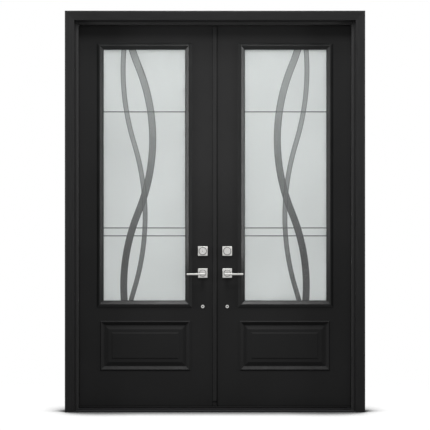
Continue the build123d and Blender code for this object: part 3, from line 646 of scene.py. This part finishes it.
class DOOR_OT_threshold(bpy.types.Operator):
    """Finish the sill, its tread ribs, the cap and the bolt keepers"""

    bl_idname = "door.threshold"
    bl_label = "Threshold"
    # Heights of the sloped tread at the nose and at the cap
    nose_height = 0.0101
    back_height = 0.0140
    screw_shares = (-0.86, -0.5, -0.16, 0.16, 0.5, 0.86)

    def execute(self, context):
        sizes = context.scene.door_sizes
        soften("sill", "sill", sizes.metal_edge)
        # The cap's very dark plastic is painted shade
        soften("threshold_cap", "cap_plastic", sizes.timber_edge)
        dress("ring", "bolt_keepers")
        self.add_ribs(sizes)
        self.add_screws(sizes)
        return {"FINISHED"}

    def add_ribs(self, sizes):
        """Grip ribs along the sloped tread."""
        nose_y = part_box("sill")[0].y
        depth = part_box("threshold_cap")[0].y - nose_y
        end_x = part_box("left_jamb")[1].x + sizes.rib_width
        bm = bmesh.new()
        for count in range(1, int(depth / sizes.rib_pitch)):
            reach = sizes.rib_pitch * count
            y = nose_y + reach
            z = self.nose_height + (self.back_height - self.nose_height) * reach / depth
            add_block(
                bm, (end_x, y, z - sizes.rib_height), (-end_x, y + sizes.rib_width, z + sizes.rib_height),
                sizes.rib_height / 2,
            )
        add_piece(bm, "sill_tread_ribs", "frame", "sill")

    def add_screws(self, sizes):
        """Screws along the cap."""
        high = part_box("threshold_cap")[1]
        y = middle("threshold_cap", "y")
        bm = bmesh.new()
        for share in self.screw_shares:
            add_screw(bm, (high.x * share, y, high.z), (0, 0, 1), sizes.screw_radius, sizes.screw_height / 2)
        add_piece(bm, "threshold_screws", "frame", "dark_metal")


class DOOR_OT_seals(bpy.types.Operator):
    """Finish the weatherstrip, the sweeps and the astragal's seal"""

    bl_idname = "door.seals"
    bl_label = "Seals"

    def execute(self, context):
        dress("rubber", "weatherstrip", "astragal_seal", "left_door_sweep", "right_door_sweep")
        self.add_bulb(context.scene.door_sizes)
        self.add_lip(context.scene.door_sizes)
        return {"FINISHED"}

    def add_bulb(self, sizes):
        """The rounded bulb of the weatherstrip, which shows between the stop and the leaf."""
        low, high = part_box("weatherstrip")
        edge = (high.y - low.y) / 4
        near, far = high.x - sizes.bulb_reach, high.x - sizes.bulb_reach + sizes.bulb_width
        top = high.z - sizes.bulb_reach
        bm = bmesh.new()
        for x_low, x_high in ((-far, -near), (near, far)):
            add_block(bm, (x_low, low.y, low.z), (x_high, high.y, top + sizes.bulb_width), edge)
        add_block(bm, (-near, low.y, top), (near, high.y, top + sizes.bulb_width), edge)
        add_piece(bm, "weatherstrip_bulb", "frame", "rubber")

    def add_lip(self, sizes):
        """The soft lip, the tip of the boot, and a dark rubber strip along the astragal that is painted
        shadow.
        """
        seal_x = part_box("astragal_seal")[0].x
        bar_low, bar_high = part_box("astragal")
        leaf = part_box("right_edge_frame")[0]
        sweep_low, sweep_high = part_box("right_door_sweep")
        cap_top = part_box("threshold_cap")[1].z
        face = leaf_face("right")
        edge = sizes.lip_thickness / 4
        bm = bmesh.new()
        add_block(
            bm, (bar_high.x - edge, face - sizes.lip_gap - sizes.lip_thickness, bar_low.z),
            (leaf.x + sizes.lip_cover, face - sizes.lip_gap, bar_high.z), edge,
        )
        add_block(
            bm, (seal_x - sizes.boot_press, sweep_high.y - sizes.boot_depth, cap_top + sizes.lip_gap / 2),
            (max(leaf.x, sweep_low.x) + sizes.boot_press, sweep_high.y, leaf.z), sizes.lip_gap,
        )
        # Painted shadow: a dark rubber strip beside the astragal, where only the shadow gap between astragal
        # and leaf shows
        add_block(
            bm, (bar_low.x - sizes.painted_shadow_strip_width, face - sizes.lip_thickness / 2, bar_low.z),
            (bar_low.x + edge, face + edge, bar_high.z), edge / 2,
        )
        add_piece(bm, "astragal_lip", "left_leaf", "rubber")


class DOOR_OT_leaves(bpy.types.Operator):
    """Round the pressed skins, and paint the leaves with their edges and cores"""

    bl_idname = "door.leaves"
    bl_label = "Leaves"

    def execute(self, context):
        edge = context.scene.door_sizes.press_edge
        for side in SIDE_SIGNS:
            for face in FACES:
                soften(f"{side}_{face}_skin", "steel", edge, least=6.0, most=75.0, segments=3)
            dress("upright_timber", f"{side}_edge_frame")
            dress("foam", f"{side}_core")
        return {"FINISHED"}


class DOOR_OT_glazing(bpy.types.Operator):
    """Finish the lite frames, the panes and the spacers"""

    bl_idname = "door.glazing"
    bl_label = "Glazing"

    def execute(self, context):
        edge = context.scene.door_sizes.frame_edge
        for side in SIDE_SIGNS:
            for face in FACES:
                soften(f"{side}_{face}_lite_frame", "moulding", edge, least=8.0)
                dress("clear", f"{side}_{face}_pane")
            dress("frost", f"{side}_decor_pane")
            dress("spacer", f"{side}_spacers")
        return {"FINISHED"}


class DOOR_OT_ribbons(bpy.types.Operator):
    """Lay the ribbons of strip glass with their border cames and the level cames"""

    bl_idname = "door.ribbons"
    bl_label = "Ribbons and cames"
    # Heights of the level cames as shares of the lite, and how they sit in the work
    bar_shares = (0.27, 0.30, 0.74)
    bar_inset = 0.0003
    bar_edge = 0.0012
    inset_shares = {"broad": 1.0, "slim": 1.5}

    def execute(self, context):
        for side, sign in SIDE_SIGNS.items():
            self.add_work(context.scene.door_sizes, side, sign)
        return {"FINISHED"}

    def add_work(self, sizes, side, sign):
        """The decorative work of one leaf."""
        came, body = f"{side}_came", f"{side}_leaf"
        low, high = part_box(came)
        foot, head = lite_heights(side)
        centre_x = middle(f"{side}_outer_lite_frame", "x")
        lines = bmesh.new()
        for name, inset_share in self.inset_shares.items():
            keys = ("offset", "start", "swing", "width")
            offset, start, swing, width = [getattr(sizes, f"{name}_{key}") for key in keys]
            axis_x, start_z = centre_x + sign * offset, foot + start
            inset = sizes.ribbon_inset * inset_share
            strip = bmesh.new()
            add_ribbon(strip, axis_x, start_z, swing, 0.0, width, (low.y + inset, high.y - inset), sign)
            trim_to_field(strip, low.z, high.z)
            add_piece(strip, f"{side}_{name}_ribbon", body, f"{name}_ribbon", (came,))
            for edge in (-1, 1):
                reach = edge * (width - sizes.line_width) / 2
                add_ribbon(lines, axis_x, start_z, swing, reach, sizes.line_width, (low.y, high.y), sign)
        trim_to_field(lines, low.z, high.z)
        for share in self.bar_shares:
            z = foot + (head - foot) * share
            add_block(
                lines, (low.x, low.y + self.bar_inset, z - sizes.bar_width / 2),
                (high.x, high.y - self.bar_inset, z + sizes.bar_width / 2), self.bar_edge,
            )
        add_piece(lines, f"{side}_came_lines", body, "came", (came,))


class DOOR_OT_hinges(bpy.types.Operator):
    """Model the hinges: plates, round knuckles, pins and screws"""

    bl_idname = "door.hinges"
    bl_label = "Hinges"
    hinge_count = 4
    knuckle_count = 5
    knuckle_round = 0.0006
    clearance = 0.0005
    plate_edge = 0.0003
    root_edge = 0.0001
    # Depth from the pivot at which a knuckle's root ends inside its wall
    root_depth = 0.0046
    # Shares of the plate's height and depth at which its screws sit
    screw_shares = ((0.12, 0.34), (0.37, 0.62), (0.63, 0.62), (0.88, 0.34))
    # Radius and rise of the points along a pin's head
    pin_head = ((0.0060, 0.0), (0.0060, 0.0014), (0.0048, 0.0024), (0.0024, 0.0029), (0.0, 0.0030))

    def execute(self, context):
        sizes = context.scene.door_sizes
        pins = bmesh.new()
        for side, sign in SIDE_SIGNS.items():
            self.add_half(sizes, side, -sign, f"{side}_hinge_leaves", f"{side}_leaf", 1)
            self.add_half(sizes, side, sign, f"{side}_jamb_hinge_leaves", "frame", 0)
            self.add_pins(pins, sizes, side)
        add_piece(pins, "hinge_pins_turned", "frame", "nickel_upright", ("hinge_pins",))
        return {"FINISHED"}

    def places(self, sizes, side):
        """The pivot of one leaf, the front of its plates and the foot of each of its hinges."""
        node = f"{side}_jamb_hinge_leaves"
        low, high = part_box(node)
        pitch = (high.z - low.z - sizes.hinge_height) / (self.hinge_count - 1)
        pivot = Vector((middle(node, "x"), high.y - sizes.knuckle_radius, 0.0))
        return pivot, low.y, [low.z + pitch * count for count in range(self.hinge_count)]

    def add_half(self, sizes, side, outward, node, body, first):
        """The halves on one leaf or jamb, with every second knuckle from the first and their screws."""
        pivot, plate_y, feet = self.places(sizes, side)
        metal, screws = bmesh.new(), bmesh.new()
        face_x = pivot.x + outward * sizes.hinge_gap / 2
        x_low, x_high = sorted((face_x, face_x + outward * sizes.hinge_plate))
        plate_end = pivot.y - sizes.knuckle_radius - self.clearance
        pitch = sizes.hinge_height / self.knuckle_count
        wall, inner = sizes.knuckle_radius, sizes.knuckle_radius - self.knuckle_round
        for foot in feet:
            top = foot + sizes.hinge_height
            add_block(metal, (x_low, plate_y, foot), (x_high, plate_end, top), self.plate_edge)
            for count in range(first, self.knuckle_count, 2):
                low = foot + pitch * count + sizes.knuckle_gap / 2
                high = foot + pitch * (count + 1) - sizes.knuckle_gap / 2
                root = plate_end - self.clearance, pivot.y - self.root_depth
                add_block(metal, (x_low, root[0], low), (x_high, root[1], high), self.root_edge)
                outline = [
                    (sizes.knuckle_bore, low), (inner, low), (wall, low + self.knuckle_round),
                    (wall, high - self.knuckle_round), (inner, high), (sizes.knuckle_bore, high),
                ]
                add_turned(metal, outline, pivot, (0, 0, 1))
            for rise, reach in self.screw_shares:
                place = face_x, plate_y + (plate_end - plate_y) * reach, foot + sizes.hinge_height * rise
                add_screw(screws, place, (-outward, 0, 0), sizes.screw_radius, sizes.screw_height)
        add_piece(metal, f"{node}_turned", body, "nickel_upright", (node,))
        add_piece(screws, f"{node}_screws", body, "painted_shade_level_nickel")

    def add_pins(self, bm, sizes, side):
        """The pins of one leaf, with a domed head."""
        pivot, _, feet = self.places(sizes, side)
        for foot in feet:
            top = foot + sizes.hinge_height
            outline = [(0.0, foot), (sizes.pin_radius, foot), (sizes.pin_radius, top)]
            outline += [(radius, top + rise) for radius, rise in self.pin_head]
            add_turned(bm, outline, pivot, (0, 0, 1))


class DOOR_OT_levers(bpy.types.Operator):
    """Round and finish the levers, their roses and the through-bolt caps"""

    bl_idname = "door.levers"
    bl_label = "Levers"

    def execute(self, context):
        sizes = context.scene.door_sizes
        for side in SIDE_SIGNS:
            roses = f"{side}_lever_roses"
            for face in FACES:
                # The levers' darker nickel is painted shade against the lamps' highlights
                soften(f"{side}_{face}_lever", "painted_shade_level_nickel", sizes.metal_edge, SQUARE_LEAST)
            soften(roses, "nickel_upright", sizes.metal_edge, SQUARE_LEAST)
            soften(f"{side}_bolt_caps", "nickel_upright", sizes.metal_edge, SQUARE_LEAST)
            self.add_cap_screws(sizes, side)
            # The collar ring's dark metal is painted shade round the lever's neck
            add_painted_shade_band(f"{side}_collar_ring", side, roses, middle(roses, "z"), sizes.collar_radius)
        return {"FINISHED"}

    def add_cap_screws(self, sizes, side):
        """Dark socket screws in the through-bolt caps."""
        low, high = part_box(f"{side}_bolt_caps")
        centre = (low + high) / 2
        bm = bmesh.new()
        for y, normal in ((low.y, (0, -1, 0)), (high.y, (0, 1, 0))):
            add_screw(bm, (centre.x, y, centre.z), normal, sizes.screw_radius, sizes.screw_height)
        add_piece(bm, f"{side}_cap_screws", f"{side}_leaf", "dark_metal")


class DOOR_OT_deadbolts(bpy.types.Operator):
    """Round and finish the deadbolt roses, the key plug and the thumbturn"""

    bl_idname = "door.deadbolts"
    bl_label = "Deadbolts"
    # Depth of the fixed plug face, and the width and fall of its rounded edge
    face_depth = 0.0006
    face_round = 0.0004
    face_fall = 0.0002
    # Corners of the dark block that shows as its key slot, from the middle of the face: painted shade
    # standing for the slot's opening
    slot_low = Vector((-0.0012, -0.0001, -0.0042))
    slot_high = Vector((0.0012, 0.0003, 0.0042))
    slot_edge = 0.00005

    def execute(self, context):
        sizes = context.scene.door_sizes
        height = middle("key_plug", "z")
        for side in SIDE_SIGNS:
            for face in FACES:
                soften(f"{side}_{face}_deadbolt_rose", "nickel_upright", sizes.metal_edge, SQUARE_LEAST)
        soften("key_plug", "nickel_upright", sizes.metal_edge / 2, SQUARE_LEAST)
        soften("thumbturn", "nickel_upright", sizes.metal_edge, SQUARE_LEAST)
        self.add_blank_face(sizes, height)
        for side in SIDE_SIGNS:
            rose = f"{side}_outer_deadbolt_rose"
            # The cylinder ring's dark metal is painted shade for the dark reflections beside the cylinder
            add_painted_shade_band(f"{side}_cylinder_ring", side, rose, height, sizes.cylinder_radius)
        return {"FINISHED"}

    def add_blank_face(self, sizes, z):
        """The fixed plug face on the passive leaf, with a dark block as painted shade for its key slot."""
        plug_low, plug_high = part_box("key_plug")
        radius = (plug_high.x - plug_low.x) / 2
        x = -middle("key_plug", "x")
        y = plug_low.y - sizes.plug_proud
        bm = bmesh.new()
        outline = [
            (0.0, y + self.face_depth), (radius, y + self.face_depth), (radius, y + self.face_fall),
            (radius - self.face_round, y), (0.0, y),
        ]
        add_turned(bm, [(reach, -depth) for reach, depth in outline], (x, 0.0, z), (0, -1, 0))
        add_piece(bm, "left_plug_face", "left_leaf", "nickel_upright")
        slot, centre = bmesh.new(), Vector((x, y, z))
        add_block(slot, centre + self.slot_low, centre + self.slot_high, self.slot_edge)
        add_piece(slot, "left_plug_slot", "left_leaf", "dark_metal")


class DOOR_OT_locks(bpy.types.Operator):
    """Finish the bolts, the faceplates and the astragal at the meeting edge"""

    bl_idname = "door.locks"
    bl_label = "Locks"
    plate_height = 0.057
    screw_inset = 0.0085
    screw_share = 0.9

    def execute(self, context):
        sizes = context.scene.door_sizes
        dress("nickel_upright", "latch_bolt", "deadbolt", "top_shoot_bolt", "bottom_shoot_bolt")
        soften("lock_faceplates", "nickel_upright", sizes.metal_edge / 2)
        soften("astragal", "astragal", sizes.timber_edge / 2, least=30.0)
        self.add_plate_screws(sizes)
        return {"FINISHED"}

    def add_plate_screws(self, sizes):
        """Two screws in each faceplate."""
        low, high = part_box("lock_faceplates")
        y = middle("lock_faceplates", "y")
        radius = sizes.screw_radius * self.screw_share
        bm = bmesh.new()
        for foot in (low.z, high.z - self.plate_height):
            for z in (foot + self.screw_inset, foot + self.plate_height - self.screw_inset):
                add_screw(bm, (low.x, y, z), (-1, 0, 0), radius, sizes.screw_height)
        add_piece(bm, "faceplate_screws", "right_leaf", "painted_shade_level_nickel")


class DOOR_OT_stage(bpy.types.Operator):
    """Set the floor, the lamps, the sky and the camera"""

    bl_idname = "door.stage"
    bl_label = "Studio"
    # Power setting, place, target and size of each lamp, in metres
    lamps = {
        "top_lamp": ("top_power", (0.0, -1.5, 5.6), (0.0, 0.0, 1.2), (1.8, 0.9)),
        "key_lamp": ("key_power", (0.0, -2.4, 4.8), (0.0, 0.0, 1.2), (1.6, 1.0)),
        "strip_lamp": ("strip_power", (0.0, -1.5, 1.75), (0.0, 0.0, 1.75), (0.26, 1.0)),
        "back_lamp": ("back_power", (0.0, 2.4, 4.8), (0.0, 0.1, 1.2), (1.8, 1.2)),
        "left_wing": ("wing_power", (-2.4, -0.47, 1.78), (0.3, 0.07, 1.7), (0.3, 1.8)),
        "right_wing": ("wing_power", (2.4, -0.47, 1.78), (-0.3, 0.07, 1.7), (0.3, 1.8)),
    }
    painted_shadow_samples = 16
    # Where the floor starts to fade beyond the door, and the share of its reach at which it is clear
    fade_start = 0.1
    fade_share = 0.9

    def execute(self, context):
        stage = context.scene.door_stage
        context.scene.view_settings.view_transform = "Standard"
        self.add_floor(stage)
        self.add_sky(context, stage)
        for name, (power, place, target, size) in self.lamps.items():
            self.add_lamp(name, getattr(stage, power), place, target, size)
        self.add_camera(context, stage)
        return {"FINISHED"}

    def seen_ray(self, tree):
        """1 for what the camera, a reflection or a view through glass sees."""
        path = tree.nodes.new("ShaderNodeLightPath")
        total = path.outputs["Is Camera Ray"]
        for name in ("Is Glossy Ray", "Is Transmission Ray"):
            total = calculate(tree, "MAXIMUM", total, path.outputs[name])
        return total

    def add_sky(self, context, stage):
        """Even soft light, with white behind the door."""
        world = bpy.data.worlds.new("studio")
        world.use_nodes = True
        tree = world.node_tree
        background = tree.nodes["Background"]
        background.inputs["Color"].default_value = (1.0, 1.0, 1.0, 1.0)
        strength = spread(tree, self.seen_ray(tree), stage.sky_strength, 1.0, 0.0, 1.0)
        tree.links.new(strength, background.inputs["Strength"])
        context.scene.world = world

    def add_floor(self, stage):
        """A white floor that fades out well away from the door and keeps its shadow."""
        low, high = cad_box
        centre = Vector(((low.x + high.x) / 2, (low.y + high.y) / 2, 0.0))
        reach = stage.floor_reach
        size = (high.x - low.x) / 2 + reach, (high.y - low.y) / 2 + reach, 1.0
        place = Matrix.Translation(centre) @ Matrix.Diagonal((*size, 1.0))
        bm = bmesh.new()
        bmesh.ops.create_grid(bm, x_segments=1, y_segments=1, size=1.0, matrix=place)
        floor = add_object("floor", make_mesh(bm, "floor", self.floor_finish(stage)))

    def floor_finish(self, stage):
        """White, with a painted contact shadow near the door on top of the real shadows in its diffuse part,
        and clear at its far edges.
        """
        material, tree, shader = new_finish("floor_white")
        tree.nodes.remove(shader)
        diffuse = tree.nodes.new("ShaderNodeBsdfDiffuse")
        diffuse.inputs["Color"].default_value = (*[stage.floor_shade] * 3, 1.0)
        glow = tree.nodes.new("ShaderNodeEmission")
        tree.links.new(self.floor_light(tree, stage), glow.inputs["Strength"])
        both = tree.nodes.new("ShaderNodeAddShader")
        tree.links.new(diffuse.outputs["BSDF"], both.inputs[0])
        tree.links.new(glow.outputs["Emission"], both.inputs[1])
        clear = tree.nodes.new("ShaderNodeBsdfTransparent")
        fade = tree.nodes.new("ShaderNodeMixShader")
        tree.links.new(self.floor_edge(tree, stage), fade.inputs["Fac"])
        tree.links.new(both.outputs["Shader"], fade.inputs[1])
        tree.links.new(clear.outputs["BSDF"], fade.inputs[2])
        tree.links.new(fade.outputs["Shader"], tree.nodes["Material Output"].inputs["Surface"])
        return material

    def floor_light(self, tree, stage):
        """The floor's own white for what is seen, dimmed by ambient occlusion where the door stands close: a
        painted contact shadow.
        """
        # Painted shadow: ambient occlusion dims the floor's glow near the door
        contact = tree.nodes.new("ShaderNodeAmbientOcclusion")
        contact.samples = self.painted_shadow_samples
        contact.inputs["Distance"].default_value = stage.painted_shadow_reach
        seen = spread(tree, self.seen_ray(tree), 0.0, stage.floor_glow, 0.0, 1.0)
        painted_shadow_mask = spread(tree, contact.outputs["AO"], 0.0, 1.0, stage.painted_shadow_start, stage.painted_shadow_end)
        return calculate(tree, "MULTIPLY", seen, painted_shadow_mask)

    def floor_edge(self, tree, stage):
        """0 near the door and 1 at the floor's edge."""
        axes = tree.nodes.new("ShaderNodeSeparateXYZ")
        tree.links.new(object_vector(tree), axes.inputs["Vector"])
        fade_end = stage.floor_reach * self.fade_share
        fades = []
        for axis in ("x", "y"):
            low, high = [getattr(corner, axis) for corner in cad_box]
            offset = calculate(tree, "SUBTRACT", axes.outputs[axis.upper()], (low + high) / 2)
            distance = calculate(tree, "ABSOLUTE", offset)
            half = (high - low) / 2
            fades.append(spread(tree, distance, 0.0, 1.0, half + self.fade_start, half + fade_end))
        return calculate(tree, "MAXIMUM", *fades)

    def add_lamp(self, name, power, place, target, size):
        """A soft rectangular lamp aimed at a point."""
        lamp = bpy.data.lights.new(name, "AREA")
        lamp.shape = "RECTANGLE"
        lamp.size, lamp.size_y = size
        lamp.energy = power
        holder = add_object(name, lamp)
        holder.location = place
        holder.rotation_euler = (Vector(target) - Vector(place)).to_track_quat("-Z", "Y").to_euler()

    def add_camera(self, context, stage):
        """A long lens, square on to the door."""
        camera = bpy.data.cameras.new("camera")
        camera.lens = camera.sensor_width * stage.camera_distance / stage.view_width
        holder = add_object("camera", camera)
        holder.location = (0.0, -stage.camera_distance, stage.camera_height)
        holder.rotation_euler = (math.radians(90.0), 0.0, 0.0)
        context.scene.camera = holder


class DOOR_PT_builder(bpy.types.Panel):
    """Lists the door's builders"""

    bl_label = "Entry door pair"
    bl_idname = "DOOR_PT_builder"
    bl_space_type = "VIEW_3D"
    bl_region_type = "UI"
    bl_category = "Door"

    def draw(self, context):
        for operator in OPERATORS:
            self.layout.operator(operator.bl_idname)
        for settings in (context.scene.door_sizes, context.scene.door_finish, context.scene.door_stage):
            column = self.layout.column()
            for name in settings.__annotations__:
                column.prop(settings, name)


OPERATORS = (
    DOOR_OT_finishes, DOOR_OT_frame, DOOR_OT_threshold, DOOR_OT_seals, DOOR_OT_leaves, DOOR_OT_glazing,
    DOOR_OT_ribbons, DOOR_OT_hinges, DOOR_OT_levers, DOOR_OT_deadbolts, DOOR_OT_locks, DOOR_OT_stage,
)
GROUPS = {"door_sizes": DoorSizes, "door_finish": DoorFinish, "door_stage": DoorStage}
CLASSES = (*GROUPS.values(), *OPERATORS, DOOR_PT_builder)


def register():
    for kind in CLASSES:
        bpy.utils.register_class(kind)
    for name, group in GROUPS.items():
        setattr(bpy.types.Scene, name, bpy.props.PointerProperty(type=group))


def unregister():
    for name in GROUPS:
        delattr(bpy.types.Scene, name)
    for kind in reversed(CLASSES):
        bpy.utils.unregister_class(kind)


def main():
    register()
    for operator in OPERATORS:
        family, name = operator.bl_idname.split(".")
        getattr(getattr(bpy.ops, family), name)()


if __name__ == "__main__":
    main()
